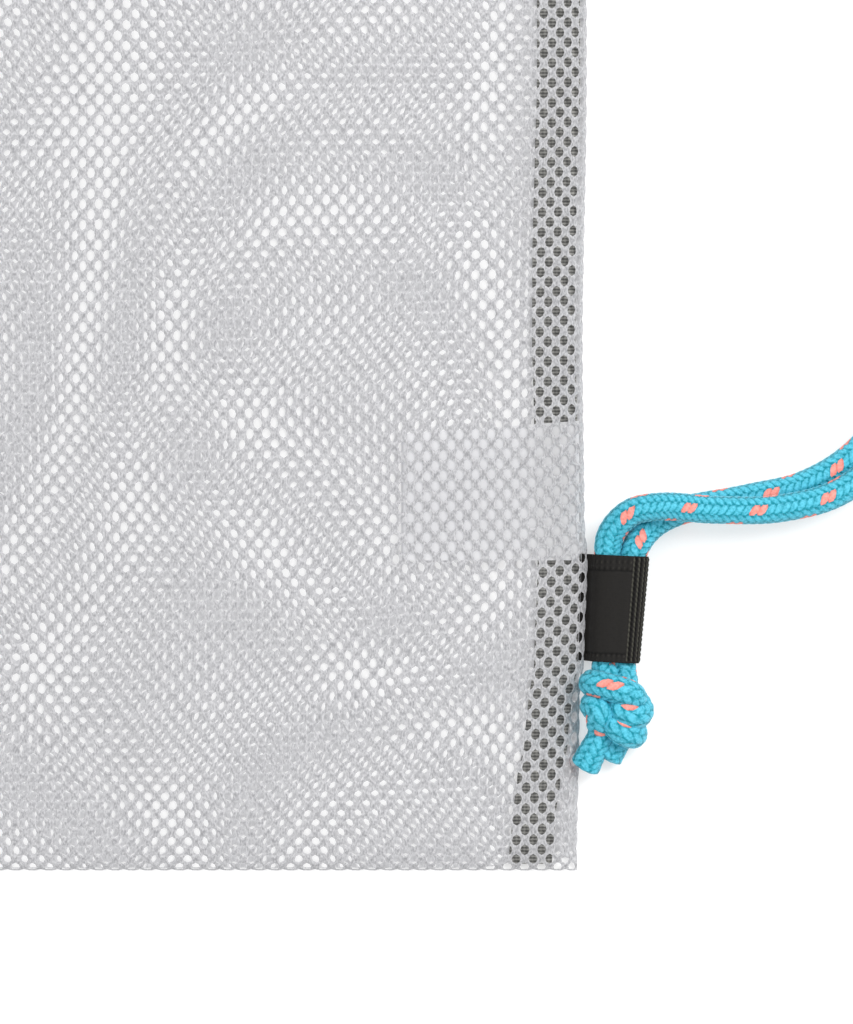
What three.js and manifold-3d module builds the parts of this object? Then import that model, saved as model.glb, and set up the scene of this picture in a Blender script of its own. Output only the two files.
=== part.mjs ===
// Mesh drawstring bag, knapsack style, lying flat on its back with the mouth towards +Y.
// Millimetres, +Z up. The origin is on the surface it lies on, under the middle of the bag.

import * as THREE from "three";
import { mergeVertices } from "three/addons/utils/BufferGeometryUtils.js";
import ManifoldModule from "manifold-3d";

const wasm = await ManifoldModule();
wasm.setup();

// Driving dimensions of the bag
const BAG_HEIGHT = 450;
const BOTTOM_Y = -BAG_HEIGHT / 2;
const TOP_Y = BAG_HEIGHT / 2;
const CLOTH = 1.0; // wall of the mesh cloth
const GAP = 0.3; // clearance between touching pieces

// Half-width of the bag at points up its side seam
const SIDE_SEAM = [
  { y: -225, half: 173.0 },
  { y: -187, half: 173.7 },
  { y: -156, half: 174.8 },
  { y: -110, half: 174.3 },
  { y: -50, half: 175.2 },
  { y: 225, half: 175.0 },
];

// Front panel: how its cloth rises from the seams
const EDGE_HEIGHT = 3.8; // inner height just inside the seams
const CROWN_HEIGHT = 12.0; // inner height in the middle
const CROWN_REACH = 150; // distance from a seam to the full height
const CURL_REACH = 3.0; // width of the cloth's turn down at the edge
const CURL_STEPS = 3;
const MOUTH_RISE_Y = 150; // from here up, the front lifts towards its casing
const COLUMNS = 18;
const ROWS = 20;

// Hem channels at the mouth
const CASING_DEPTH = 26.7; // measured along the bag
const CASING_HEIGHT = 8.4;
const CASING_HALF_LENGTH = 174;
const CASING_CORNER = 3.6;
const CASING_STEPS = 2;
const CASING_ARC_STEPS = 4; // facets in each rounded corner
const MOUTH_GAP = 5.2; // open height between the two channels
const CASING_BASE_Y = TOP_Y - CASING_DEPTH;
const FRONT_CASING_Z = CASING_HEIGHT + MOUTH_GAP;
const PANEL_TOP_Y = CASING_BASE_Y - GAP;

// Woven tape that binds the side seams inside
const TAPE_THICKNESS = 1.1;
const TAPE_WIDTH = 9.8;
const TAPE_Z = CLOTH + GAP;
const TAPE_LINE = [
  { y: -222, inset: 5.5 },
  { y: -205, inset: 4.0 },
  { y: -180, inset: 1.7 },
  { y: 195, inset: 1.7 },
];

// Care label, sewn in over the tape of the right seam
const LABEL_THICKNESS = 0.8;
const LABEL_Z = TAPE_Z + TAPE_THICKNESS + GAP;
const LABEL_BOTTOM_Y = -156.2;
const LABEL_TOP_Y = -125.3;
const LABEL_INNER_X = 134;
const LABEL_INSET = 3.0;

// Ribbon tabs that hold the cords at the lower corners
const TAB_Y = -167;
const TAB_LENGTH = 24;
const TAB_WALL = 1.0;
const TAB_HEIGHT = 8.4;
const TAB_TILT = THREE.MathUtils.degToRad(2.5);
const TAB_FLANGE = 1.3; // how far the ribbon goes into the seam
const TAB_FLANGE_Z = CLOTH + GAP;
const TAB_RADIUS = TAB_HEIGHT / 2;
const TAB_ARC_STEPS = 8;
const STRAND_SPACING = 5.9; // between the two strands inside the tab
const TAB_INNER_CENTRE = GAP + TAB_RADIUS; // from the bag's edge to the first strand
const TAB_LIFT = TAB_WALL + GAP; // room for the ribbon under the front's edge
const TAB_LIFT_HALF = TAB_LENGTH / 2 + GAP;
const TAB_LIFT_EASE = 10;

// Braided cord
const CORD_DIAMETER = 5.6;
const CORD_SIDES = 8;
const STEPS_PER_POINT = 2;

// Free strands of a cord, from its knot to the mouth: x is measured towards the cord's own side.
// The inner strand leaves the tab on the outside, passes under the other and then runs inside it.
const INNER_STRAND = [
  [184.3, -180.0, 4.2],
  [184.85, -168.0, 4.2],
  [185.35, -156.5, 4.2],
  [188.4, -149.9, 3.6],
  [194.1, -145.9, 3.1],
  [210.7, -142.4, 3.1],
  [223.2, -139.4, 3.1],
  [234.3, -132.6, 3.1],
  [248.0, -115.0, 3.1],
  [255.5, -85.0, 3.1],
  [255.5, -30.0, 3.1],
  [245.5, 65.0, 3.1],
  [229.0, 140.0, 3.1],
];
const OUTER_STRAND = [
  [178.4, -180.0, 4.2],
  [178.95, -168.0, 4.2],
  [179.45, -156.5, 4.2],
  [181.0, -150.8, 5.4],
  [185.4, -146.2, 7.8],
  [191.6, -144.6, 9.2],
  [203.0, -145.4, 9.2],
  [218.1, -145.1, 8.2],
  [232.2, -141.0, 6.6],
  [253.6, -118.6, 3.1],
  [262.0, -86.0, 3.1],
  [262.0, -29.5, 3.1],
  [252.4, 66.1, 3.1],
  [238.0, 141.0, 3.1],
];

// Ways into the casings, from the end of a free strand: into the front channel or the back one
const INNER_TO_FRONT = [
  [217.5, 174.0, 4.6],
  [208.5, 192.0, 9.6],
  [197.0, 202.6, 15.0],
  [182.0, 205.9, 17.5],
  [160.0, 206.0, 17.8],
];
const INNER_TO_BACK = [
  [217.5, 174.0, 3.1],
  [208.5, 192.0, 3.1],
  [197.0, 202.6, 3.5],
  [182.0, 205.9, 4.1],
  [160.0, 206.0, 4.2],
];
const OUTER_TO_FRONT = [
  [231.5, 180.0, 4.4],
  [225.0, 201.0, 10.8],
  [210.0, 215.4, 18.0],
  [182.0, 219.1, 17.8],
  [160.0, 219.0, 17.8],
];
const OUTER_TO_BACK = [
  [230.5, 184.0, 3.1],
  [220.5, 207.0, 3.1],
  [204.0, 217.2, 3.3],
  [182.0, 219.1, 4.1],
  [160.0, 219.0, 4.2],
];

// The turn at the far end of the casings, from the front channel's upper lane to the back's lower lane
const TURN = [
  [165.0, 219.0, 17.8],
  [197.0, 219.8, 18.4],
  [206.4, 216.9, 15.5],
  [209.4, 212.2, 10.8],
  [206.4, 207.5, 6.1],
  [197.0, 204.6, 3.2],
  [165.0, 206.0, 4.2],
];
const LANE_MIDDLE_Y = 212.5;

// Overhand knot of both strands below a tab: offsets from the knot's middle, with z above the surface
const KNOT_MIDDLE = [181.2, -188.9];
const KNOT_DIAMETER = 5.3; // the strands are squeezed in the knot
const KNOT_STRANDS = [
  [
    [-2.9, 8.3, 4.2],
    [-2.8, 5.8, 4.5],
    [-2.4, 2.8, 6.2],
    [-2.0, -0.3, 7.0],
    [-0.2, -5.2, 8.4],
    [4.6, -6.2, 7.8],
    [6.2, -3.4, 5.0],
    [3.0, -0.6, 2.9],
    [-1.6, -0.2, 3.0],
    [-4.4, -0.6, 6.6],
    [-2.4, -1.0, 10.4],
    [1.4, -0.9, 10.8],
    [3.4, -2.4, 8.0],
    [2.0, -4.8, 4.4],
    [-1.6, -8.2, 2.9],
    [-3.4, -13.0, 2.8],
  ],
  [
    [3.0, 8.3, 4.2],
    [2.9, 5.8, 4.5],
    [2.7, 3.2, 6.2],
    [2.8, 0.6, 7.2],
    [3.6, -2.2, 9.0],
    [5.6, -1.8, 8.2],
    [6.0, 1.4, 5.2],
    [2.8, 4.2, 2.9],
    [-1.8, 4.6, 3.0],
    [-4.2, 4.4, 6.6],
    [-2.4, 4.0, 10.2],
    [1.6, 3.6, 10.8],
    [5.4, 0.8, 9.4],
    [5.2, -2.6, 4.6],
    [3.4, -7.6, 2.8],
    [2.0, -13.4, 2.7],
  ],
];
const KNOT_SIDES = 7;
const KNOT_STEPS_PER_POINT = 1;

// Materials
function cloth(colour, roughness) {
  return new THREE.MeshStandardMaterial({ color: colour, roughness, metalness: 0 });
}
const MESH_GREY = cloth(0xc9c9ce, 0.85);
const TAPE_CHARCOAL = cloth(0x4a4a48, 0.9);
const LABEL_WHITE = cloth(0xf2f2f0, 0.6);
const RIBBON_BLACK = cloth(0x232322, 0.6);
const CORD_BLUE = cloth(0x1fb4d4, 0.75);

// Helpers
function ease(t) {
  const s = THREE.MathUtils.clamp(t, 0, 1);
  return s * s * (3 - 2 * s);
}

// Value of a column of a table at height y, eased between its rows
function fromTable(table, column, y) {
  const last = table.length - 1;
  if (y <= table[0].y) return table[0][column];
  for (let i = 0; i < last; i += 1) {
    const low = table[i];
    const high = table[i + 1];
    if (y <= high.y) {
      const t = ease((y - low.y) / (high.y - low.y));
      return THREE.MathUtils.lerp(low[column], high[column], t);
    }
  }
  return table[last][column];
}

function halfWidth(y) {
  return fromTable(SIDE_SEAM, "half", y);
}

// Evenly spaced values from start to end, both included
function spread(start, end, count) {
  return Array.from({ length: count + 1 }, (_, i) => THREE.MathUtils.lerp(start, end, i / count));
}

// A flat plate: the outline in the plan, raised to z
function plate(outline, thickness, z) {
  const shape = new THREE.Shape(outline.map(([x, y]) => new THREE.Vector2(x, y)));
  const geometry = new THREE.ExtrudeGeometry(shape, { depth: thickness, bevelEnabled: false });
  return geometry.translate(0, 0, z);
}

function part(name, geometry, material) {
  const mesh = new THREE.Mesh(geometry, material);
  mesh.name = name;
  return mesh;
}

// Back panel: a flat sheet on the surface, from the bottom fold to its casing
function backPanel() {
  const corner = CURL_REACH;
  const heights = [BOTTOM_Y + corner, ...spread(BOTTOM_Y + 2 * corner, PANEL_TOP_Y, ROWS)];
  const right = heights.map((y) => [halfWidth(y), y]);
  const foot = [halfWidth(BOTTOM_Y) - corner, BOTTOM_Y];
  const outline = [foot, ...right];
  const mirrored = outline.map(([x, y]) => [-x, y]).reverse();
  return plate([...outline, ...mirrored], CLOTH, 0);
}

// Inner height of the front panel over the surface
function frontHeight(x, y) {
  const fromSide = halfWidth(y) - Math.abs(x);
  const fromFold = y - BOTTOM_Y;
  const crown = ease(fromSide / CROWN_REACH) * ease(fromFold / CROWN_REACH);
  const pillow = THREE.MathUtils.lerp(EDGE_HEIGHT, CROWN_HEIGHT, crown);
  const lift = ease((y - MOUTH_RISE_Y) / (PANEL_TOP_Y - MOUTH_RISE_Y));
  return THREE.MathUtils.lerp(pillow, FRONT_CASING_Z, lift);
}

// Height of the front panel's turned-down edge: it steps over the tabs, and lifts off near the mouth
function rimHeight(y, innerHeight) {
  const offTab = Math.abs(y - TAB_Y) - TAB_LIFT_HALF;
  const overTab = TAB_LIFT * (1 - ease(offTab / TAB_LIFT_EASE));
  const lift = ease((y - MOUTH_RISE_Y) / (PANEL_TOP_Y - MOUTH_RISE_Y));
  return THREE.MathUtils.lerp(CLOTH + GAP + overTab, innerHeight, lift);
}

// Front panel: a thin shell whose edges turn down to the back panel at the sides and the bottom
function frontPanel() {
  const curl = spread(0, Math.PI / 2, CURL_STEPS).map((angle) => ({
    inset: CURL_REACH * (1 - Math.cos(angle)),
    rise: Math.sin(angle),
  }));
  const inner = spread(-1, 1, COLUMNS).slice(1, -1);
  const columns = [
    ...curl.map(({ inset, rise }) => ({ across: -1, inset, rise })),
    ...inner.map((across) => ({ across, inset: CURL_REACH, rise: 1 })),
    ...curl.map(({ inset, rise }) => ({ across: 1, inset, rise })).reverse(),
  ];
  const tabRows = [-1, 1].flatMap((end) => [
    TAB_Y + end * TAB_LIFT_HALF,
    TAB_Y + end * (TAB_LIFT_HALF + TAB_LIFT_EASE),
  ]);
  const plainRows = spread(BOTTOM_Y + CURL_REACH, PANEL_TOP_Y, ROWS).slice(1);
  const upper = [...plainRows, ...tabRows].sort((a, b) => a - b);
  const rows = [
    ...curl.map(({ inset, rise }) => ({ y: BOTTOM_Y + inset, rise })),
    ...upper.map((y) => ({ y, rise: 1 })),
  ];

  const outer = [];
  const rims = [];
  for (const row of rows) {
    for (const column of columns) {
      const x = column.across * (halfWidth(row.y) - column.inset);
      const height = frontHeight(x, row.y);
      const rim = rimHeight(row.y, height);
      outer.push(x, row.y, THREE.MathUtils.lerp(rim, height + CLOTH, column.rise * row.rise));
      rims.push(rim);
    }
  }

  const across = columns.length;
  const faces = [];
  for (let j = 0; j + 1 < rows.length; j += 1) {
    for (let i = 0; i + 1 < across; i += 1) {
      const a = j * across + i;
      faces.push(a, a + 1, a + across + 1, a, a + across + 1, a + across);
    }
  }
  return shell(outer, faces, rims, across);
}

// Closes a grid of outer points into a wall of cloth: an inner skin, and a strip round the border
function shell(outer, faces, rims, across) {
  const skin = new THREE.BufferGeometry();
  skin.setAttribute("position", new THREE.Float32BufferAttribute(outer, 3));
  skin.setIndex(faces);
  skin.computeVertexNormals();
  const normal = skin.getAttribute("normal");
  const count = rims.length;
  const down = count / across;

  const inner = [];
  for (let i = 0; i < count; i += 1) {
    const y = outer[3 * i + 1] - CLOTH * normal.getY(i);
    const z = outer[3 * i + 2] - CLOTH * normal.getZ(i);
    inner.push(outer[3 * i] - CLOTH * normal.getX(i));
    inner.push(Math.min(y, PANEL_TOP_Y));
    inner.push(Math.max(z, rims[i]));
  }

  const flipped = [];
  for (let i = 0; i < faces.length; i += 3) {
    flipped.push(faces[i] + count, faces[i + 2] + count, faces[i + 1] + count);
  }
  const border = [];
  for (let i = 0; i < across; i += 1) border.push(i);
  for (let j = 1; j < down; j += 1) border.push(j * across + across - 1);
  for (let i = across - 2; i >= 0; i -= 1) border.push((down - 1) * across + i);
  for (let j = down - 2; j > 0; j -= 1) border.push(j * across);
  const strip = [];
  border.forEach((a, i) => {
    const b = border[(i + 1) % border.length];
    strip.push(b, a, a + count, b, a + count, b + count);
  });

  const geometry = new THREE.BufferGeometry();
  geometry.setAttribute("position", new THREE.Float32BufferAttribute([...outer, ...inner], 3));
  geometry.setIndex([...faces, ...flipped, ...strip]);
  return geometry;
}

// Rounded oblong in a section plane, as a path that can be an outline or a hole
function oblong(path, width, height, radius, centreX, centreY) {
  const left = centreX - width / 2 + radius;
  const right = centreX + width / 2 - radius;
  const low = centreY - height / 2 + radius;
  const high = centreY + height / 2 - radius;
  path.absarc(right, low, radius, -Math.PI / 2, 0);
  path.absarc(right, high, radius, 0, Math.PI / 2);
  path.absarc(left, high, radius, Math.PI / 2, Math.PI);
  path.absarc(left, low, radius, Math.PI, 1.5 * Math.PI);
  path.closePath();
  return path;
}

// Hem channel: a flat tube of cloth across the bag, open at both ends
function casing(baseZ) {
  const centreY = CASING_BASE_Y + CASING_DEPTH / 2;
  const centreZ = baseZ + CASING_HEIGHT / 2;
  const section = oblong(new THREE.Shape(), CASING_DEPTH, CASING_HEIGHT, CASING_CORNER, centreY, centreZ);
  const width = CASING_DEPTH - 2 * CLOTH;
  const height = CASING_HEIGHT - 2 * CLOTH;
  const radius = CASING_CORNER - CLOTH;
  section.holes.push(oblong(new THREE.Path(), width, height, radius, centreY, centreZ));
  const geometry = new THREE.ExtrudeGeometry(section, {
    depth: 2 * CASING_HALF_LENGTH,
    steps: CASING_STEPS,
    curveSegments: CASING_ARC_STEPS,
    bevelEnabled: false,
  });
  const turn = new THREE.Matrix4().makeBasis(
    new THREE.Vector3(0, 1, 0),
    new THREE.Vector3(0, 0, 1),
    new THREE.Vector3(1, 0, 0),
  );
  return geometry.applyMatrix4(turn).translate(-CASING_HALF_LENGTH, 0, 0);
}

// Woven tape along a side seam
function binding(side) {
  const heights = spread(TAPE_LINE[0].y, TAPE_LINE[TAPE_LINE.length - 1].y, ROWS);
  const edge = heights.map((y) => [halfWidth(y) - fromTable(TAPE_LINE, "inset", y), y]);
  const back = edge.map(([x, y]) => [x - TAPE_WIDTH, y]).reverse();
  const outline = [...edge, ...back].map(([x, y]) => [side * x, y]);
  return plate(outline, TAPE_THICKNESS, TAPE_Z);
}

// Care label: a plain oblong whose outer end lies on the tape
function careLabel() {
  const outline = [
    [LABEL_INNER_X, LABEL_BOTTOM_Y],
    [halfWidth(LABEL_BOTTOM_Y) - LABEL_INSET, LABEL_BOTTOM_Y],
    [halfWidth(LABEL_TOP_Y) - LABEL_INSET, LABEL_TOP_Y],
    [LABEL_INNER_X, LABEL_TOP_Y],
  ];
  return plate(outline, LABEL_THICKNESS, LABEL_Z);
}

// Ribbon tab: a loop round both strands, with its ends going into the seam
function cordTab() {
  const near = TAB_INNER_CENTRE;
  const far = near + STRAND_SPACING;
  const middle = TAB_RADIUS;
  const flangeTop = TAB_FLANGE_Z + TAB_WALL;
  const lowAngle = Math.PI + Math.asin((middle - TAB_FLANGE_Z) / TAB_RADIUS);
  const highAngle = Math.PI + Math.asin((middle - flangeTop) / TAB_RADIUS);
  const outline = new THREE.Shape();
  outline.moveTo(-TAB_FLANGE, TAB_FLANGE_Z);
  outline.absarc(near, middle, TAB_RADIUS, lowAngle, 1.5 * Math.PI);
  outline.absarc(far, middle, TAB_RADIUS, -Math.PI / 2, Math.PI / 2);
  outline.absarc(near, middle, TAB_RADIUS, Math.PI / 2, highAngle);
  outline.lineTo(-TAB_FLANGE, flangeTop);
  outline.closePath();
  const bore = TAB_RADIUS - TAB_WALL;
  const hole = oblong(new THREE.Path(), STRAND_SPACING + 2 * bore, 2 * bore, bore, (near + far) / 2, middle);
  outline.holes.push(hole);

  const options = { depth: TAB_LENGTH, curveSegments: TAB_ARC_STEPS, bevelEnabled: false };
  const geometry = new THREE.ExtrudeGeometry(outline, options);
  geometry.translate(0, 0, -TAB_LENGTH / 2);
  return geometry.rotateX(Math.PI / 2);
}

// A route that is sampled evenly between its points, so that close points give short steps at the bends
class CordRoute extends THREE.CatmullRomCurve3 {
  getPointAt(u, target) {
    return this.getPoint(u, target);
  }

  getTangentAt(u, target) {
    return this.getTangent(u, target);
  }
}

function tube(points, diameter, sides, stepsPerPoint) {
  const route = new CordRoute(points.map(([x, y, z]) => new THREE.Vector3(x, y, z)));
  const ring = Array.from({ length: sides }, (_, i) => {
    const angle = (2 * Math.PI * (i + 0.5)) / sides;
    return new THREE.Vector2(Math.cos(angle), Math.sin(angle)).multiplyScalar(diameter / 2);
  });
  const steps = stepsPerPoint * (points.length - 1);
  const options = { steps, extrudePath: route, bevelEnabled: false };
  return new THREE.ExtrudeGeometry(new THREE.Shape(ring), options);
}

function mirrorX(points, side) {
  return points.map(([x, y, z]) => [side * x, y, z]);
}

// A cord: up one strand, along one casing, round the far end, back along the other and down again.
// The two cords share the channels, so the left one takes the lanes that the right one leaves free.
function cordRoute(side) {
  if (side > 0) {
    const swapped = TURN.map(([x, y, z]) => [-x, 2 * LANE_MIDDLE_Y - y, z]);
    const back = [...OUTER_STRAND, ...OUTER_TO_BACK].reverse();
    return [...INNER_STRAND, ...INNER_TO_FRONT, ...swapped, ...back];
  }
  const up = mirrorX([...INNER_STRAND, ...INNER_TO_BACK], side);
  const down = mirrorX([...OUTER_STRAND, ...OUTER_TO_FRONT].reverse(), side);
  return [...up, ...[...TURN].reverse(), ...down];
}

// Joins closed geometries into one solid
function fuse(geometries) {
  const solids = geometries.map((geometry) => {
    const bare = geometry.clone();
    bare.deleteAttribute("normal");
    bare.deleteAttribute("uv");
    const merged = mergeVertices(bare);
    const vertProperties = new Float32Array(merged.getAttribute("position").array);
    const triVerts = new Uint32Array(merged.getIndex().array);
    return new wasm.Manifold(new wasm.Mesh({ numProp: 3, vertProperties, triVerts }));
  });
  const { vertProperties, triVerts } = solids.reduce((all, solid) => all.add(solid)).getMesh();
  const geometry = new THREE.BufferGeometry();
  geometry.setAttribute("position", new THREE.Float32BufferAttribute(vertProperties, 3));
  geometry.setIndex(Array.from(triVerts));
  return geometry;
}

// Knot: both strands of the overhand knot, squeezed into one body with two tails
function knot(side) {
  const [middleX, middleY] = KNOT_MIDDLE;
  const strands = KNOT_STRANDS.map((strand) => {
    const points = strand.map(([x, y, z]) => [side * (middleX + x), middleY + y, z]);
    return tube(points, KNOT_DIAMETER, KNOT_SIDES, KNOT_STEPS_PER_POINT);
  });
  return fuse(strands);
}

// The assembly
const bag = new THREE.Group();
bag.add(
  part("back_panel", backPanel(), MESH_GREY),
  part("front_panel", frontPanel(), MESH_GREY),
  part("casing_back", casing(0), MESH_GREY),
  part("casing_front", casing(FRONT_CASING_Z), MESH_GREY),
  part("care_label", careLabel(), LABEL_WHITE),
);

// A tab is the same from both ends, so the left one is the right one turned half round
const SIDES = [
  { name: "right", side: 1, tabTurn: -TAB_TILT },
  { name: "left", side: -1, tabTurn: Math.PI + TAB_TILT },
];
for (const { name, side, tabTurn } of SIDES) {
  const tab = part(`cord_tab_${name}`, cordTab(), RIBBON_BLACK);
  tab.position.set(side * halfWidth(TAB_Y), TAB_Y, 0);
  tab.rotation.z = tabTurn;
  bag.add(
    part(`binding_${name}`, binding(side), TAPE_CHARCOAL),
    tab,
    part(`cord_${name}`, tube(cordRoute(side), CORD_DIAMETER, CORD_SIDES, STEPS_PER_POINT), CORD_BLUE),
    part(`knot_${name}`, knot(side), CORD_BLUE),
  );
}

export default bag;
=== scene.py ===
"""Looks of the mesh drawstring bag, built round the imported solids.

The bag lies on its back with the mouth towards +Y. Tables are in millimetres, as in the
part's source, and every mesh is made in metres.
"""

import math

import bpy
import numpy as np
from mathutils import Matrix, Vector


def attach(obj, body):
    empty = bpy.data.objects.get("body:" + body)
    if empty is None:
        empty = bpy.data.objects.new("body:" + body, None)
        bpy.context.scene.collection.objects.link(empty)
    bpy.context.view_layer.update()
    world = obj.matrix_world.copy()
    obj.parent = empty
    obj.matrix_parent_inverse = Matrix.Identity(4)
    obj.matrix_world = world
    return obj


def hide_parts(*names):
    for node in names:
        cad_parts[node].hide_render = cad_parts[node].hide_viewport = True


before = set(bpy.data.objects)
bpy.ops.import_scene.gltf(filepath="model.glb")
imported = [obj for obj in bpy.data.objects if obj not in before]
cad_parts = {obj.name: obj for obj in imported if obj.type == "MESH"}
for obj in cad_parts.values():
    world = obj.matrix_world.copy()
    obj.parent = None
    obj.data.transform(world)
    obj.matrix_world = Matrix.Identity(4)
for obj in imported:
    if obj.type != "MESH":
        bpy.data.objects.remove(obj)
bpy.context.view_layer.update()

MM = 0.001
TINY = 1e-6

# Photograph: millimetres for each pixel and the place of the picture's middle
MM_PER_PIXEL = 0.222
IMAGE_HEIGHT = 1024
VIEW_MIDDLE = (139.6, -145.5)
CAMERA_HEIGHT = 1100.0
VIEW_DEPTH = 10000.0
SENSOR = 36.0

# Bag: its bottom fold, and each side seam's distance from the middle line at heights y
BOTTOM_Y = -225.0
SIDE_SEAM = [
    (-225, 173.0),
    (-190, 173.6),
    (-178, 174.6),
    (-157, 175.3),
    (-148, 174.7),
    (-110, 174.3),
    (-50, 175.2),
    (225, 175.0),
]

# Braided cord: eight columns of slanted stitches, which lean to and fro in turn
CORD_RADIUS = 3.0
CORD_SIDES = 32
STITCH_COLUMNS = 8
STITCH_LENGTH = 1.754
STITCH_LEAN = 0.8
BRAID_RELIEF = 0.3
# A stitch, in shares of its length and width from its middle: where its sides and its ends start to fall
# and where they meet the next stitch, then how deep its sides, its corners and its ends go
STITCH_SIDE = 0.2
STITCH_END = 0.1
STITCH_EDGE = 0.5
STITCH_MIDDLE = (0.5, 0.5)
SIDE_DEPTH = 0.35
CORNER_DEPTH = 0.65
END_DEPTH = 0.3
END_SHARPNESS = 4
MEAN_HEIGHT = 0.65
# One coral yarn winds round the cord and shows as flecks in every second column: rows from fleck to fleck,
# their shift to the next such column, their length in rows, and the place x that rows are counted from
FLECK_ROWS = 9.0
FLECK_SHIFT = 2.25
FLECK_LENGTH = 2.0
FLECK_X = 196.4
# Steps along a cord: fine near its ends, where the camera is, and coarse elsewhere
FINE_STEP = STITCH_LENGTH / 5
COARSE_STEP = STITCH_LENGTH / 2
FINE_ENDS = 95.0
# Turn of the braid about a cord in columns, height y of a cord's ends, and its gap to the floor
CORD_TURN = 0.5
CORD_END_Y = -176.0
CORD_CLEARANCE = 0.15
# Stitches bunch up where the last strand arches over to its tab: by how much, how far from its end, how fast
BUNCH = 3.2
BUNCH_FROM = 50.0
BUNCH_REACH = 16.0

# Free strands of a cord, from its knot to the mouth: x is measured towards the cord's own side
INNER_STRAND = [
    (182.7, -180.0, 4.2),
    (183.9, -168.0, 4.2),
    (184.7, -156.5, 4.2),
    (188.1, -149.9, 3.6),
    (194.1, -145.9, 3.1),
    (210.7, -142.4, 3.1),
    (223.2, -139.4, 3.1),
    (234.3, -132.6, 3.1),
    (248.0, -115.0, 3.1),
    (255.5, -85.0, 3.1),
    (255.5, -30.0, 3.1),
    (245.5, 65.0, 3.1),
    (229.0, 140.0, 3.1),
]
OUTER_STRAND = [
    (179.5, -180.0, 4.2),
    (179.8, -168.0, 4.2),
    (179.7, -156.5, 4.2),
    (180.3, -150.5, 5.4),
    (184.7, -145.6, 7.8),
    (191.4, -144.3, 9.2),
    (203.0, -145.0, 9.2),
    (218.1, -144.6, 8.2),
    (232.2, -140.2, 7.2),
    (253.6, -118.6, 3.1),
    (262.0, -86.0, 3.1),
    (262.0, -29.5, 3.1),
    (252.4, 66.1, 3.1),
    (238.0, 141.0, 3.1),
]

# Ways into the hem channels, from the end of a free strand
INNER_TO_FRONT = [
    (217.5, 174.0, 4.6),
    (208.5, 192.0, 9.6),
    (197.0, 202.6, 15.0),
    (182.0, 205.9, 17.5),
    (160.0, 206.0, 17.8),
]
INNER_TO_BACK = [
    (217.5, 174.0, 3.1),
    (208.5, 192.0, 3.1),
    (197.0, 202.6, 3.5),
    (182.0, 205.9, 4.1),
    (160.0, 206.0, 4.2),
]
OUTER_TO_FRONT = [
    (231.5, 180.0, 4.4),
    (225.0, 201.0, 10.8),
    (210.0, 215.4, 18.0),
    (182.0, 219.1, 17.8),
    (160.0, 219.0, 17.8),
]
OUTER_TO_BACK = [
    (230.5, 184.0, 3.1),
    (220.5, 207.0, 3.1),
    (204.0, 217.2, 3.3),
    (182.0, 219.1, 4.1),
    (160.0, 219.0, 4.2),
]

# The turn at the far end of the channels, from the front one to the back one
TURN = [
    (165.0, 219.0, 17.8),
    (197.0, 219.8, 18.4),
    (206.4, 216.9, 15.5),
    (209.4, 212.2, 10.8),
    (206.4, 207.5, 6.1),
    (197.0, 204.6, 3.2),
    (165.0, 206.0, 4.2),
]
# A channel's two lanes are at y 206 and 219: their sum less one of them is the other
LANES_SUM_Y = 425.0


# Helpers

def ease(t):
    s = np.clip(t, 0.0, 1.0)
    return s * s * (3.0 - 2.0 * s)


def from_table(table, y):
    """Value of a table of (y, value) rows at height y, eased between the rows."""
    heights = np.array([row[0] for row in table], float)
    values = np.array([row[1] for row in table], float)
    low = np.clip(np.searchsorted(heights, y, side="right") - 1, 0, len(table) - 2)
    t = ease((y - heights[low]) / (heights[low + 1] - heights[low]))
    return values[low] + (values[low + 1] - values[low]) * t


def half_width(y):
    return from_table(SIDE_SEAM, y)


def unit(vectors):
    return vectors / np.linalg.norm(vectors, axis=-1, keepdims=True)


def smooth_line(points, per_span=40):
    """A centripetal Catmull-Rom curve through the points."""
    points = np.asarray(points, float)
    knots = np.vstack([2 * points[0] - points[1], points, 2 * points[-1] - points[-2]])
    t = np.arange(per_span)[:, None] / per_span
    spans = []
    for i in range(len(points) - 1):
        p0, p1, p2, p3 = knots[i:i + 4]
        d0 = math.sqrt(np.linalg.norm(p1 - p0))
        d1 = math.sqrt(np.linalg.norm(p2 - p1))
        d2 = math.sqrt(np.linalg.norm(p3 - p2))
        m1 = ((p1 - p0) / d0 - (p2 - p0) / (d0 + d1) + (p2 - p1) / d1) * d1
        m2 = ((p2 - p1) / d1 - (p3 - p1) / (d1 + d2) + (p3 - p2) / d2) * d1
        spans.append(
            (2 * t**3 - 3 * t**2 + 1) * p1
            + (t**3 - 2 * t**2 + t) * m1
            + (3 * t**2 - 2 * t**3) * p2
            + (t**3 - t**2) * m2
        )
    return np.vstack([*spans, points[-1:]])


def run_of(line):
    """Distance along a line at each of its points."""
    steps = np.linalg.norm(np.diff(line, axis=0), axis=1)
    return np.concatenate([[0.0], np.cumsum(steps)])


def at_runs(line, runs):
    along = run_of(line)
    return np.stack([np.interp(runs, along, line[:, i]) for i in range(3)], axis=1)


def mirrored(points):
    return [(-x, y, z) for x, y, z in points]


def linked(name, data):
    obj = bpy.data.objects.new(name, data)
    bpy.context.scene.collection.objects.link(obj)
    return obj


def add_object(name, vertices, faces, uvs=None):
    """A smooth mesh object from millimetre points. uvs has one pair for each face corner."""
    mesh = bpy.data.meshes.new(name)
    mesh.from_pydata((np.asarray(vertices) * MM).tolist(), [], faces)
    if uvs is not None:
        layer = mesh.uv_layers.new(name="UVMap")
        layer.data.foreach_set("uv", np.asarray(uvs, float).ravel())
    mesh.shade_smooth()
    return linked(name, mesh)


# Camera, straight above the corner that the photograph shows

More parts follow.
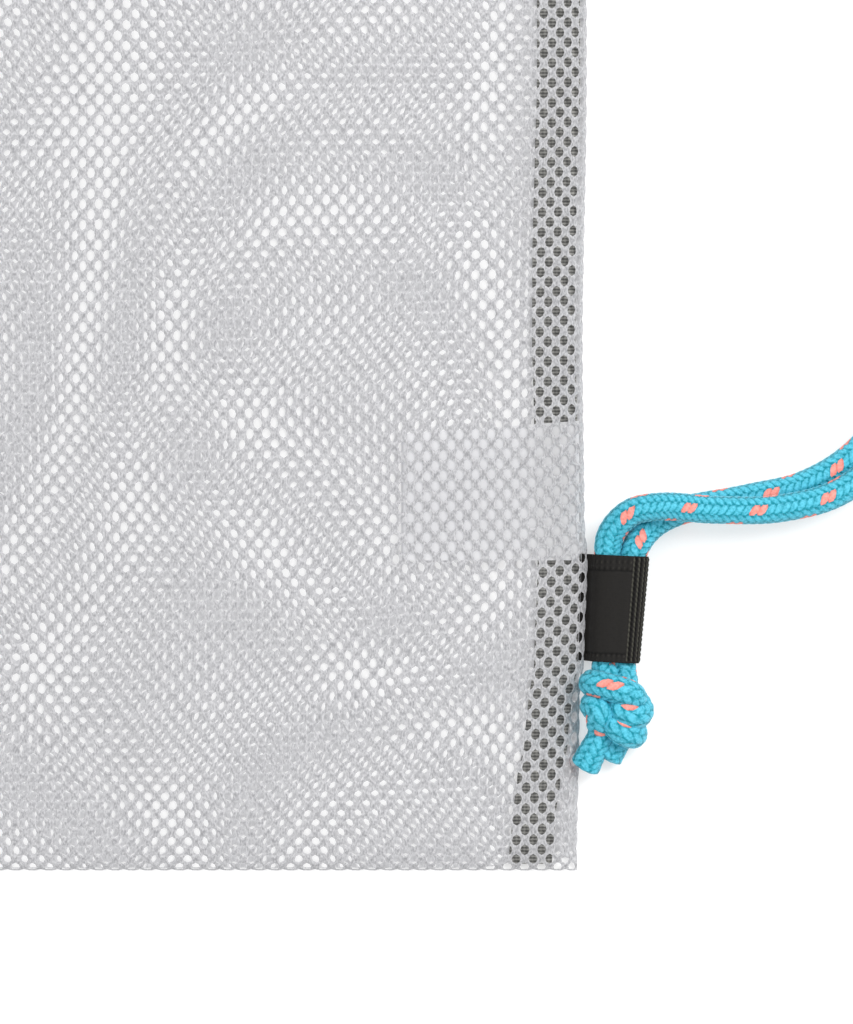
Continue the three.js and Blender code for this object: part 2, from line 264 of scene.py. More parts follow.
def add_camera():
    data = bpy.data.cameras.new("camera")
    data.sensor_width = SENSOR
    data.lens = SENSOR * CAMERA_HEIGHT / (IMAGE_HEIGHT * MM_PER_PIXEL)
    data.clip_end = VIEW_DEPTH * MM
    camera = linked("camera", data)
    camera.location = (VIEW_MIDDLE[0] * MM, VIEW_MIDDLE[1] * MM, CAMERA_HEIGHT * MM)
    bpy.context.scene.camera = camera


add_camera()


# Cords

def cord_route(side):
    """Centreline of a whole cord, from one strand of its knot round to the other."""
    if side == "right":
        over = [(-x, LANES_SUM_Y - y, z) for x, y, z in TURN]
        return INNER_STRAND + INNER_TO_FRONT + over + (OUTER_STRAND + OUTER_TO_BACK)[::-1]
    out = mirrored(INNER_STRAND + INNER_TO_BACK)
    back = mirrored(OUTER_STRAND + OUTER_TO_FRONT)[::-1]
    return out + TURN[::-1] + back


def stitch_relief(column, row):
    """Height of the braid, 0 to 1: columns of stitches that lean to and fro in turn."""
    across = column - np.floor(column) - 0.5
    lean = np.where(np.floor(column) % 2 == 0, 1.0, -1.0)
    along = row + lean * across * STITCH_LEAN + 0.5 * (np.floor(column) % 2)
    along = along - np.floor(along) - 0.5
    gap = ease((abs(along) - STITCH_SIDE) / (STITCH_EDGE - STITCH_SIDE))
    end = ease((abs(across) - STITCH_END) / (STITCH_EDGE - STITCH_END))
    depth = gap * (SIDE_DEPTH + CORNER_DEPTH * end) + END_DEPTH * end ** END_SHARPNESS
    return np.clip(1.0 - depth, 0.0, 1.0)


def upright_frames(line):
    """Side and lift directions of a line that never stands upright."""
    ahead = unit(np.gradient(line, axis=0))
    side = unit(np.cross(ahead, (0.0, 0.0, 1.0)))
    return side, np.cross(side, ahead)


def carried_frames(line):
    """Side and lift directions carried along a line without twist."""
    ahead = unit(np.gradient(line, axis=0))
    lift = np.zeros_like(line)
    lift[0] = unit(np.array([0.0, 0.0, 1.0]) - ahead[0] * ahead[0][2])
    for i in range(1, len(line)):
        lift[i] = unit(lift[i - 1] - ahead[i] * np.dot(lift[i - 1], ahead[i]))
    return np.cross(ahead, lift), lift


def braid_tube(line, runs, frames, radius, start, turn):
    """Points, faces and stitch coordinates of a braided cord along a line."""
    side, lift = frames
    turns = np.arange(CORD_SIDES + 1) / CORD_SIDES
    angles = 2 * math.pi * turns
    columns = np.broadcast_to(turns * STITCH_COLUMNS + turn, (len(line), CORD_SIDES + 1))
    rows = np.broadcast_to(((runs + start) / STITCH_LENGTH)[:, None], columns.shape)
    radii = np.asarray(radius, float).reshape(-1, 1)
    radii = radii + BRAID_RELIEF * (stitch_relief(columns, rows) - MEAN_HEIGHT)
    out = np.cos(angles)[None, :, None] * lift[:, None, :]
    out = out + np.sin(angles)[None, :, None] * side[:, None, :]
    points = line[:, None, :] + out * radii[:, :, None]
    points = points[:, :CORD_SIDES].reshape(-1, 3)
    ring = np.arange(len(line) - 1)[:, None] * CORD_SIDES
    here = np.arange(CORD_SIDES)[None, :]
    after = (here + 1) % CORD_SIDES
    quads = np.stack(
        [ring + here, ring + CORD_SIDES + here, ring + CORD_SIDES + after, ring + after], axis=-1
    )
    cells = np.stack([columns, rows], axis=-1)
    corners = np.stack([cells[:-1, :-1], cells[1:, :-1], cells[1:, 1:], cells[:-1, 1:]], axis=2)
    faces = quads.reshape(-1, 4).tolist()
    corners = corners.reshape(-1, 2).tolist()
    for first, order in ((0, 1), ((len(line) - 1) * CORD_SIDES, -1)):
        faces.append(list(range(first, first + CORD_SIDES))[::order])
        corners += [STITCH_MIDDLE] * CORD_SIDES
    return points, faces, corners


def stations(length):
    """Distances along a cord at which its rings of points lie."""
    fine = np.arange(0.0, FINE_ENDS, FINE_STEP)
    count = int((length - 2 * FINE_ENDS) / COARSE_STEP)
    middle = np.linspace(FINE_ENDS, length - FINE_ENDS, count)
    return np.concatenate([fine, middle, length - fine[::-1]])


def run_near(line, runs, x):
    """Distance along a cord at which its last strand passes a place towards its side."""
    last = np.nonzero(abs(line[:, 0]) > x)[0][-1]
    return runs[last]


def add_cord(side):
    """A whole cord: its object, its centreline and its length."""
    line = smooth_line(cord_route(side))
    line = line[line[:, 1] > CORD_END_Y]
    line[:, 2] = np.maximum(line[:, 2], CORD_RADIUS + CORD_CLEARANCE)
    length = run_of(line)[-1]
    runs = stations(length)
    line = at_runs(line, runs)
    start = STITCH_LENGTH - run_near(line, runs, FLECK_X)
    yarn = runs + BUNCH * ease((runs - length + BUNCH_FROM) / BUNCH_REACH)
    made = braid_tube(line, yarn, upright_frames(line), CORD_RADIUS, start, CORD_TURN)
    cord = add_object("braid_" + side, *made)
    return cord, line * MM, length * MM


# Knots

# Spacing of points along a strand, least distance between strands, and steps of the curve at each point
KNOT_STEP = 1.4
KNOT_SPACING = 4.2
KNOT_SPAN_STEPS = 8
# Settling: shares of each push, smoothing, stretch and pull back that a round makes
KNOT_ROUNDS = 300
KNOT_PUSH = 0.22
KNOT_SMOOTH = 0.12
KNOT_STRETCH = 0.4
KNOT_PULL = 0.25
KNOT_PINNED = 4
KNOT_NEIGHBOURS = 5
# Cut ends of the tails: how far they are rounded and how much, then how far they spread and how much
KNOT_ROUNDING = 1.0
KNOT_ROUNDED = 0.95
KNOT_SPREAD_REACH = 3.0
KNOT_SPREAD = 0.14
KNOT_MIDDLE = (181.2, -188.9)
# Each strand of the knot: its start along its yarns and its turn about its line, in columns
KNOT_LAY = [
    (12.75, 1.25),
    (0.75, 0.75),
]
# Offsets from the knot's middle, with z above the floor. The first strand goes down behind, shows as
# the lowest lobe, turns behind, comes round the left, dives as the lower band and ends in the front
# tail. The second does the same one cord higher, and ends in the tail behind.
KNOT_STRANDS = [
    [
        (-1.6, 14.4, 4.2),
        (-1.9, 8.4, 4.2),
        (-2.2, 4.8, 4.2),
        (-1.4, 2.0, 4.4),
        (-0.4, -0.6, 4.8),
        (0.0, -2.8, 6.8),
        (1.2, -4.5, 8.4),
        (2.6, -5.4, 7.6),
        (3.4, -5.4, 5.0),
        (2.2, -3.8, 3.1),
        (-1.0, -1.2, 3.1),
        (-3.6, 0.6, 4.6),
        (-4.3, 1.0, 7.2),
        (-3.4, 0.0, 8.8),
        (-2.4, -1.4, 8.0),
        (-2.0, -3.0, 5.6),
        (-2.0, -4.8, 4.4),
        (-3.0, -7.2, 4.6),
        (-4.6, -9.8, 4.4),
        (-7.3, -14.2, 3.4),
    ],
    [
        (1.8, 14.4, 4.2),
        (1.3, 8.4, 3.9),
        (1.4, 4.6, 4.6),
        (1.4, 1.4, 5.4),
        (1.6, -0.8, 7.4),
        (2.9, -1.2, 8.6),
        (3.9, -0.9, 7.2),
        (4.0, 0.6, 4.6),
        (2.4, 3.2, 3.1),
        (-1.2, 4.8, 3.1),
        (-3.8, 5.6, 4.8),
        (-4.2, 5.6, 7.6),
        (-2.0, 5.0, 9.8),
        (0.6, 4.2, 10.2),
        (2.6, 2.6, 8.4),
        (3.0, -0.4, 5.2),
        (2.2, -3.4, 4.0),
        (0.6, -6.6, 3.1),
        (-1.2, -9.4, 3.1),
        (-2.8, -11.4, 3.1),
    ],
]


def settle(strands):
    """Pushes crossing strands apart, keeps their length and lets them bend smoothly."""
    sizes = [len(s) for s in strands]
    starts = np.concatenate([[0], np.cumsum(sizes)])
    points = np.vstack(strands)
    owner = np.repeat(np.arange(len(strands)), sizes)
    index = np.concatenate([np.arange(n) for n in sizes])
    near = (owner[:, None] == owner[None]) & (abs(index[:, None] - index[None]) < KNOT_NEIGHBOURS)
    pinned = index < KNOT_PINNED
    wanted = points.copy()
    for _ in range(KNOT_ROUNDS):
        apart = points[:, None] - points[None]
        distance = np.linalg.norm(apart, axis=2) + TINY
        push = np.where(near, 0.0, np.clip(KNOT_SPACING - distance, 0.0, None))
        points = points + KNOT_PUSH * (apart * (push / distance)[:, :, None]).sum(axis=1)
        for a, b in zip(starts[:-1], starts[1:]):
            strand = points[a:b]
            strand[1:-1] += KNOT_SMOOTH * (strand[:-2] + strand[2:] - 2 * strand[1:-1])
            for first in (0, 1):
                step = strand[first + 1::2] - strand[first:-1:2]
                size = np.linalg.norm(step, axis=1, keepdims=True)
                fix = KNOT_STRETCH * step * (1 - KNOT_STEP / size)
                strand[first:-1:2] += fix
                strand[first + 1::2] -= fix
        points += KNOT_PULL * (wanted - points)
        points[:, 2] = np.maximum(points[:, 2], CORD_RADIUS + CORD_CLEARANCE)
        points[pinned] = wanted[pinned]
    return [points[a:b] for a, b in zip(starts[:-1], starts[1:])]


def add_knot(side):
    """The knot of a cord's two strands, with its cut tails."""
    strands = []
    for table in KNOT_STRANDS:
        line = smooth_line(table)
        strands.append(at_runs(line, np.arange(0.0, run_of(line)[-1], KNOT_STEP)))
    strands = settle(strands)
    vertices, faces, corners = [], [], []
    count = 0
    for strand, (start, turn) in zip(strands, KNOT_LAY):
        strand = strand + np.array([*KNOT_MIDDLE, 0.0])
        line = smooth_line(strand, per_span=KNOT_SPAN_STEPS)
        runs = np.arange(0.0, run_of(line)[-1], FINE_STEP)
        line = at_runs(line, runs)
        to_end = runs[-1] - runs
        rounded = np.clip(1 - to_end / KNOT_ROUNDING, 0, KNOT_ROUNDED)
        radius = CORD_RADIUS * np.sqrt(1 - rounded ** 2)
        radius = radius * (1 + KNOT_SPREAD * np.exp(-to_end / KNOT_SPREAD_REACH))
        made = braid_tube(line, runs, carried_frames(line), radius, start, turn)
        vertices.append(made[0])
        faces += [[i + count for i in face] for face in made[1]]
        corners += made[2]
        count += len(made[0])
    vertices = np.vstack(vertices)
    if side == "left":
        vertices = vertices * (-1, 1, 1)
        faces = [face[::-1] for face in faces]
        flipped, at = [], 0
        for face in faces:
            flipped += corners[at:at + len(face)][::-1]
            at += len(face)
        corners = flipped
    return add_object("tied_knot_" + side, vertices, faces, corners)


# Mesh cloth: holes sit on every other point of a grid, given in half pitches

HOLE_CORNERS = [
    (0.54, 0.0),
    (0.395, 0.36),
    (0.0, 0.565),
    (-0.395, 0.36),
    (-0.54, 0.0),
    (-0.395, -0.36),
    (0.0, -0.565),
    (0.395, -0.36),
]
# Those to the left and right of a hole's middle, which a hole on the side border does without
SIDE_CORNERS = (0, 4)
# Corners of the cloth between four holes: step to each hole, and the three of its corners that face back
HOLE_STEPS = [(1, 0), (0, 1), (-1, 0), (0, -1)]
CLOTH_CORNERS = [
    (i, j, (corner + 2 * turn) % len(HOLE_CORNERS))
    for turn, (i, j) in enumerate(HOLE_STEPS)
    for corner in (5, 4, 3)
]
PANEL_COLUMNS = 95
PANEL_ROWS = 190
# Widths past the outermost holes, in half pitches: the sewn side, the fold, the dips of their strands
# and the least width of a strand that dips
SELVAGE = 0.1
FOLD = 0.72
SCALLOP = 0.3
SCALLOP_WIDTH = 1.0
CASING_ROWS = 30
CASING_COLUMNS = 94

# Heights of the front: just inside its edges and in the middle, and the way from the one to the other
EDGE_HEIGHT = 4.3
CROWN_HEIGHT = 12.5
CROWN_REACH = 150.0
CROWN_SAMPLES = 1501
# The cloth turns down at its side and bottom edges, which draws in its last holes
EDGE_SLACK = 1.56
EDGE_REACH = 2.6
EDGE_RISE_REACH = 4.0
RIM_Z = 0.8
# The front's edge rises over the tabs
TAB_Y = -166.6
TAB_RISE = 1.9
TAB_RISE_HALF = 12.3
TAB_RISE_EASE = 10.0
# The front rises to its hem, and both hems stand a little off the surface
MOUTH_RISE_Y = 150.0
PANEL_TOP_Y = 200.6
PANEL_REACH = PANEL_TOP_Y - BOTTOM_Y + EDGE_SLACK
FRONT_CASING_Z = 13.6
CASING_FOOT_Z = 0.5
# The back lies on the surface, a little inside the front's edges
BACK_Z = 0.5
BACK_INSET = 0.4

# Slow drifts of each layer's holes, which make the two layers beat against each other:
# shift across, shift along, waves per metre across and along, phase
FRONT_DRIFT = [
    (0.7, 0.2, 4.8, -3.6, 0.4),
    (0.2, 0.8, -3.0, 4.6, 1.9),
    (0.3, 0.2, 11.0, 4.0, 2.6),
]
BACK_DRIFT = [
    (-1.8, -0.4, 4.8, -3.6, 0.4),
    (-2.4, -0.4, 4.4, 4.8, 1.2),
    (0.4, -1.9, 4.8, 3.0, 4.0),
    (-0.2, -1.2, -3.0, 4.6, 1.9),
    (-0.6, 0.5, -9.0, 8.0, 0.5),
]
# The waves wander from their straight rows, the more the further from the right bottom corner
WANDER = 40.0
WANDER_LENGTH = 340.0
WANDER_X = 45.0
WANDER_Y = 195.0
WANDER_REACH = 130.0
# Widths over which drifts fade at the edges, and over which the back comes into step beside a seam
DRIFT_MARGIN = 30.0
SEAM_MARGIN = 12.0
# The rows of holes rise to the side seams: slope at a seam, how far it reaches, how much of the rise is
# taken back all over, the height above the fold where it is gone, and the height over which it starts
SEAM_TILT = 0.19
SEAM_TILT_REACH = 35.0
SEAM_TILT_BACK = 0.5
SEAM_TILT_TOP = 260.0
SEAM_TILT_FOOT = 34.0


def knit(columns, rows, closed=False):
    """Grid points, faces and face-corner grid places of a net of holes, edged with a narrow strand."""
    side_edge = columns - HOLE_CORNERS[1][0]
    low_edge = -HOLE_CORNERS[1][1]
    high_edge = rows - low_edge
    index = {}
    points = []
    faces = []
    corners = []
    for j in range(rows if closed else rows + 1):
        for i in range(-columns, columns + 1):
            if (i + j) % 2 == 0:
                continue
            face = []
            for di, dj, k in CLOTH_CORNERS:
                u = i + di + HOLE_CORNERS[k][0]
                v = j + dj + HOLE_CORNERS[k][1]
                outside = abs(u) > side_edge + TINY
                if not closed:
                    outside = outside or v < low_edge - TINY or v > high_edge + TINY
                if outside or (abs(i + di) == columns and k in SIDE_CORNERS):
                    continue
                key = (i + di, (j + dj) % rows if closed else j + dj, k)
                if key not in index:
                    index[key] = len(points)
                    points.append((u, v))
                face.append(index[key])
                corners.append((u, v))
            if abs(i) == columns and j == 0 and not closed:
                face.append(len(points))
                points.append((math.copysign(side_edge, i), low_edge))
                corners.append(points[-1])
            faces.append(face)
    outer_edge = columns + SELVAGE
    borders = [(0, side_edge, outer_edge), (0, -side_edge, -outer_edge)]
    if not closed:
        borders += [(1, low_edge, -FOLD), (1, high_edge, rows + FOLD)]
    for axis, inner, outer in borders:
        close_border(points, faces, corners, axis, inner, outer)
    return np.array(points), faces, corners


def close_border(points, faces, corners, axis, inner, outer):
    """Closes the cut holes along one border of a net with a strand from the inner to the outer place."""
    outward = 1 if outer > inner else -1
    travel = outward if axis == 0 else -outward
    found = [n for n, point in enumerate(points) if abs(point[axis] - inner) < TINY]
    found.sort(key=lambda n: travel * points[n][1 - axis])
    first = len(points)
    for n in found:
        beyond = list(points[n])
        beyond[axis] = outer
        points.append(tuple(beyond))
    for k in range(len(found) - 1):
        face = [found[k], first + k, first + k + 1, found[k + 1]]
        start, end = points[first + k], points[first + k + 1]
        if abs(end[1 - axis] - start[1 - axis]) > SCALLOP_WIDTH:
            dip = [(start[0] + end[0]) / 2, (start[1] + end[1]) / 2]
            dip[axis] -= outward * SCALLOP
            face.insert(2, len(points))
            points.append(tuple(dip))
        faces.append(face)
        corners += [points[n] for n in face]


def drift(table, x, y, side_window, end_window):
    """Places on the flat cloth after its slow drifts, which fade at the sides and the ends."""
    across = np.zeros_like(x)
    along = np.zeros_like(x)
    stray_x = WANDER * ease((WANDER_X - x) / WANDER_REACH)
    stray_y = WANDER * ease((y - WANDER_Y) / WANDER_REACH)
    wave_x = x + stray_x * np.sin(2 * math.pi * y / WANDER_LENGTH)
    wave_y = y + stray_y * np.sin(2 * math.pi * x / WANDER_LENGTH)
    for shift_x, shift_y, waves_x, waves_y, phase in table:
        wave = np.sin(2 * math.pi * MM * (waves_x * wave_x + waves_y * wave_y) + phase)
        across += shift_x * wave
        along += shift_y * wave
    return x + across * side_window, y + along * end_window * side_window


def drawn_in(distance):
    """Distance from an edge as seen from above, for a distance along the cloth."""
    return distance - EDGE_SLACK * (1 - np.exp(-distance / EDGE_REACH))


def along_cloth(inset):
    """Distance along the cloth, for a distance from an edge as seen from above."""
    distances = np.linspace(0.0, CROWN_REACH, CROWN_SAMPLES)
    return np.interp(inset, drawn_in(distances), distances)


def edge_rise(distance):
    """Share of its full height that the cloth has at a distance along it from an edge."""
    return 1 - np.exp(-distance / EDGE_RISE_REACH)


def cloth_place(u, v, drifts):
    """Place of a point of the net on the flat cloth, across and up, and half the width there."""
    q = (v + FOLD) / (PANEL_ROWS + 2 * FOLD) * PANEL_REACH
    spread = half_width(BOTTOM_Y + q) + EDGE_SLACK
    p = u / (PANEL_COLUMNS + SELVAGE) * spread
    side_window = ease((spread - abs(p)) / DRIFT_MARGIN)
    end_window = ease(q / DRIFT_MARGIN) * ease((PANEL_REACH - q) / DRIFT_MARGIN)
    p, q = drift(drifts, p, q, side_window, end_window)
    tilt = SEAM_TILT * ease((SEAM_TILT_TOP - q) / SEAM_TILT_TOP) * ease(q / SEAM_TILT_FOOT)
    q = q + tilt * SEAM_TILT_REACH * (np.exp(-(spread - abs(p)) / SEAM_TILT_REACH) - SEAM_TILT_BACK)
    return p, q, spread


def front_height(inset, y, share):
    """Height of the front at a distance from its side, with the share of it that the edges allow."""
    crown = ease(inset / CROWN_REACH) * ease((y - BOTTOM_Y) / CROWN_REACH)
    lift = ease((y - MOUTH_RISE_Y) / (PANEL_TOP_Y - MOUTH_RISE_Y))
    height = EDGE_HEIGHT + (CROWN_HEIGHT - EDGE_HEIGHT) * crown
    height = height + (FRONT_CASING_Z + CASING_FOOT_Z - height) * lift
    near_tab = 1 - ease((abs(y - TAB_Y) - TAB_RISE_HALF) / TAB_RISE_EASE)
    rim = RIM_Z + TAB_RISE * near_tab
    rim = rim + (height - rim) * lift
    return rim + (height - rim) * share


def front_surface(u, v):
    """Place on the front of the bag of a point of the net."""
    p, q, spread = cloth_place(u, v, FRONT_DRIFT)
    from_side = spread - abs(p)
    inset = drawn_in(from_side)
    x = np.sign(p) * (spread - EDGE_SLACK - inset)
    y = BOTTOM_Y + drawn_in(q)
    z = front_height(inset, y, edge_rise(from_side) * edge_rise(q))
    return np.stack([x, y, z], axis=1)


def back_surface(u, v):
    """Place on the back of the bag of a point of the net, a row out of step with the front."""
    p, q, spread = cloth_place(u, v, BACK_DRIFT)
    from_side = spread - abs(p)
    side_inset = BACK_INSET * np.exp(-from_side / EDGE_REACH)
    fold_inset = BACK_INSET * np.exp(-q / EDGE_REACH)
    x = np.sign(p) * (spread - EDGE_SLACK - drawn_in(from_side) - side_inset)
    in_step = (1 - ease(q / DRIFT_MARGIN)) * ease((from_side - SEAM_MARGIN) / SEAM_MARGIN)
    step = (1 - in_step) * ease((PANEL_REACH - q) / DRIFT_MARGIN)
    y = BOTTOM_Y + drawn_in(q) + fold_inset + step * PANEL_REACH / PANEL_ROWS
    return np.stack([x, y, np.full_like(x, BACK_Z)], axis=1)


# Section and half length of a hem channel, and the steps round its corners in degrees
CASING_LOW_Y = 198.8
CASING_HIGH_Y = 224.5
CASING_HEIGHT = 7.4
CASING_CORNER = 3.1
CASING_HALF_LENGTH = 174.0
QUARTER_TURN = 90
ARC_STEP = 10


def casing_outline():
    """Section of a hem channel from below, round by its far edge and over the top, with z from 0."""
    outline = []
    centres = [
        (CASING_HIGH_Y - CASING_CORNER, CASING_CORNER, -90),
        (CASING_HIGH_Y - CASING_CORNER, CASING_HEIGHT - CASING_CORNER, 0),
        (CASING_LOW_Y + CASING_CORNER, CASING_HEIGHT - CASING_CORNER, 90),
        (CASING_LOW_Y + CASING_CORNER, CASING_CORNER, 180),
    ]
    for y, z, first in centres:
        for degrees in range(first, first + QUARTER_TURN + 1, ARC_STEP):
            angle = math.radians(degrees)
            outward = CASING_CORNER * math.cos(angle)
            upward = CASING_CORNER * math.sin(angle)
            outline.append((0.0, y + outward, z + upward))
    outline.append(outline[0])
    return np.array(outline)


def casing_surface(u, v, z):
    """Place on a hem channel of a point of the net, for the height of its foot."""
    outline = casing_outline()
    around = run_of(outline)
    places = at_runs(outline, (v % CASING_ROWS) / CASING_ROWS * around[-1])
    places[:, 0] = u / CASING_COLUMNS * CASING_HALF_LENGTH
    places[:, 2] += z
    return places


# Materials

# Colours are linear. A grain is given in noise cells for each metre, and a bump by its height in millimetres
# and its strength. Other pairs are limits: where a tone or a rise starts and ends.
WHITE = (1.0, 1.0, 1.0, 1.0)

# Mesh colours: the pale one is painted highlight on the holes' rims and the grey one is painted shade where
# the strands meet; fibre and mottle also mix them at random
FRONT_PALE = (0.635, 0.635, 0.65, 1)
FRONT_GREY = (0.318, 0.318, 0.333, 1)
FRONT_THROUGH = 0.25
# The back lies on the white surface, whose light comes up through it. It is the front's cloth painted paler,
# as painted light that lifts the shade under the front
BACK_PALE_PAINTED_LIGHT = (0.82, 0.82, 0.835, 1)
BACK_GREY_PAINTED_LIGHT = (0.58, 0.58, 0.593, 1)
BACK_THROUGH = 0.6
# A hole's edge is at 1 from its middle
MESH_RIM = (0.95, 1.4)
# Painted shade: greyer from a hole's rim to where the strands meet, which leaves a painted highlight on the
# rim
MESH_PAINTED_SHADE = (1.0, 1.7)
MESH_PAINTED_SHADE_WEIGHT = 0.6
MESH_FIBRE = 2900.0
MESH_FIBRE_DETAIL = 3.0
MESH_FIBRE_STRETCH = 2.0
MESH_FIBRE_WEIGHT = 4.4
MESH_MOTTLE = 700.0
MESH_MOTTLE_WEIGHT = 0.5
MESH_TONES = (-0.5, 1.2)
MESH_BUMP = (0.3, 0.5)

# Cord colours: the first of each pair is painted shade in the gaps between stitches, and the second is
# painted highlight on the stitches' tops
BLUE_SHADED = (0.0, 0.245, 0.325, 1)
BLUE_LIT = (0.1, 0.545, 0.715, 1)
CORAL_SHADED = (0.66, 0.18, 0.14, 1)
CORAL_LIT = (0.94, 0.34, 0.29, 1)
FLECK_EDGE = (0.1, 0.5)
BRAID_FIBRE = 1800.0
BRAID_FIBRE_WEIGHT = 2.0
BRAID_FIBRE_RELIEF = 0.2
# Painted shade across each stitch, darker on one side than the other
BRAID_SIDE_SHADE_WEIGHT = -0.5
BRAID_TONES = (0.05, 1.45)
BRAID_BUMP = (0.4, 0.6)

# Ribs across the tape and its lengthwise yarns: their spacing and their share in its tone
TAPE_DARK = (0.115, 0.115, 0.11, 1)
TAPE_LIGHT = (0.37, 0.365, 0.345, 1)
TAPE_RIB = 0.75
TAPE_RIB_WEIGHT = 0.3
TAPE_WARP = 0.9
TAPE_WARP_WEIGHT = 0.12
TAPE_GRAIN = 1100.0
TAPE_TONES = (0.1, 0.95)
TAPE_BUMP = (0.2, 0.6)

LABEL_SHADE = (0.86, 0.86, 0.875, 1)
LABEL_WHITE = (0.90, 0.90, 0.91, 1)
LABEL_FIBRE = 1500.0
LABEL_BUMP = (0.1, 0.3)
LABEL_THROUGH = 0.55

# Ribbon colours: painted shade in the grooves, the face's own black, and painted highlight on the ribs and
# ridges
RIBBON_GROOVE_SHADE = (0.004, 0.004, 0.0038, 1)
RIBBON_FACE = (0.0155, 0.0145, 0.0135, 1)
RIBBON_RIB_HIGHLIGHT = (0.060, 0.058, 0.046, 1)
RIBBON_WEFT = 0.45
RIBBON_WEFT_WEIGHT = 0.06
RIBBON_GRAIN = 1500.0
RIBBON_GRAIN_WEIGHT = 0.35
RIBBON_SHADE_LIMITS = (0.05, 0.55)
RIBBON_HIGHLIGHT_LIMITS = (0.6, 1.0)
RIBBON_BUMP = (0.1, 0.4)

FLOOR_GREY = (0.55, 0.55, 0.55, 1.0)
FLOOR_GLOW = 0.47


def add_node(tree, kind, inputs=(), **settings):
    """A node with its inputs linked or set."""
    node = tree.nodes.new(kind)
    for key, value in settings.items():
        setattr(node, key, value)
    for key, value in dict(inputs).items():
        if isinstance(value, bpy.types.NodeSocket):
            tree.links.new(value, node.inputs[key])
        else:
            node.inputs[key].default_value = value
    return node


def calc(operation, first, second=0.0):
    """Result of a sum with one or two values, at least one of them from a node."""
    tree = (first if isinstance(first, bpy.types.NodeSocket) else second).id_data
    node = add_node(tree, "ShaderNodeMath", {0: first, 1: second}, operation=operation)
    return node.outputs[0]


def weighted(*terms):
    """Sum of values, each times its own weight."""
    total = calc("MULTIPLY", *terms[0])
    for value, weight in terms[1:]:
        total = calc("ADD", total, calc("MULTIPLY", value, weight))
    return total


def ramp(value, low, high, kind="SMOOTHSTEP"):
    """Share of the way of a value from low to high."""
    limits = {"Value": value, "From Min": low, "From Max": high}
    node = add_node(value.id_data, "ShaderNodeMapRange", limits, interpolation_type=kind)
    return node.outputs["Result"]


def blend(factor, first, second):
    """Colour that goes from first to second with factor."""
    # This node's colours are its inputs 6 and 7 and its output 2
    inputs = {0: factor, 6: first, 7: second}
    node = add_node(factor.id_data, "ShaderNodeMix", inputs, data_type="RGBA")
    return node.outputs[2]


def start_material(name, roughness, sheen=0.0, specular=0.5):
    material = bpy.data.materials.new(name)
    material.use_nodes = True
    tree = material.node_tree
    shader = tree.nodes["Principled BSDF"]
    shader.inputs["Roughness"].default_value = roughness
    shader.inputs["Sheen Weight"].default_value = sheen
    shader.inputs["Specular IOR Level"].default_value = specular
    return material, tree, shader


def paint(shader, colour, height, bump):
    """Gives a shader its colour, and the bump of a height."""
    tree = shader.id_data
    settings = {"Height": height, "Distance": bump[0] * MM, "Strength": bump[1]}
    node = add_node(tree, "ShaderNodeBump", settings)
    tree.links.new(colour, shader.inputs["Base Color"])
    tree.links.new(node.outputs[0], shader.inputs["Normal"])


def show_through(shader, colour, share):
    """Lets a share of the light through thin cloth."""
    tree = shader.id_data
    output = tree.nodes["Material Output"]
    through = add_node(tree, "ShaderNodeBsdfTranslucent", {"Color": colour})
    shaders = {0: share, 1: shader.outputs[0], 2: through.outputs[0]}
    mix = add_node(tree, "ShaderNodeMixShader", shaders)
    tree.links.new(mix.outputs[0], output.inputs["Surface"])


def noise(tree, scale, detail=2.0, stretch=1.0):
    """Noise of a fineness, drawn out along the bag by a stretch."""
    place = add_node(tree, "ShaderNodeNewGeometry").outputs["Position"]
    shape = (1.0, 1.0 / stretch, 1.0)
    drawn = add_node(tree, "ShaderNodeVectorMath", {0: place, 1: shape}, operation="MULTIPLY")
    settings = {"Vector": drawn.outputs[0], "Scale": scale, "Detail": detail}
    return add_node(tree, "ShaderNodeTexNoise", settings).outputs[0]


def grain(tree, *settings):
    """Noise about zero."""
    return calc("SUBTRACT", noise(tree, *settings), 0.5)


def waves(value, spacing):
    """A sine of a coordinate, one wave for each spacing."""
    return calc("SINE", calc("MULTIPLY", value, 2 * math.pi / spacing))


def cell_place(tree):
    """The two coordinates that a piece's faces carry."""
    uv = add_node(tree, "ShaderNodeUVMap", uv_map="UVMap")
    split = add_node(tree, "ShaderNodeSeparateXYZ", {0: uv.outputs[0]})
    return split.outputs[0], split.outputs[1]


def mesh_material(name, pale, grey, through):
    """Knitted mesh: pale rims round the holes as painted highlight, greyer cloth where the strands meet as
    painted shade, and a random fibre and mottle tone.
    """
    material, tree, shader = start_material(name, roughness=0.75, sheen=0.15, specular=0.3)
    u, v = cell_place(tree)
    first = calc("MULTIPLY", calc("ADD", u, v), 0.5)
    second = calc("MULTIPLY", calc("SUBTRACT", u, v), 0.5)
    first = calc("SUBTRACT", first, calc("ROUND", first))
    second = calc("SUBTRACT", second, calc("ROUND", second))
    across = calc("DIVIDE", calc("ADD", first, second), HOLE_CORNERS[0][0])
    along = calc("DIVIDE", calc("SUBTRACT", first, second), HOLE_CORNERS[2][1])
    from_hole = calc("SQRT", weighted((across, across), (along, along)))
    # Painted shade towards where the strands meet, and painted highlight on the holes' rims
    cloth = ramp(from_hole, *MESH_PAINTED_SHADE)
    fibre = grain(tree, MESH_FIBRE, MESH_FIBRE_DETAIL, MESH_FIBRE_STRETCH)
    mottle = grain(tree, MESH_MOTTLE)
    shade = weighted(
        (cloth, MESH_PAINTED_SHADE_WEIGHT), (fibre, MESH_FIBRE_WEIGHT), (mottle, MESH_MOTTLE_WEIGHT)
    )
    colour = blend(ramp(shade, *MESH_TONES, kind="LINEAR"), pale, grey)
    height = calc("ADD", ramp(from_hole, *MESH_RIM), fibre)
    paint(shader, colour, height, MESH_BUMP)
    show_through(shader, colour, through)
    return material


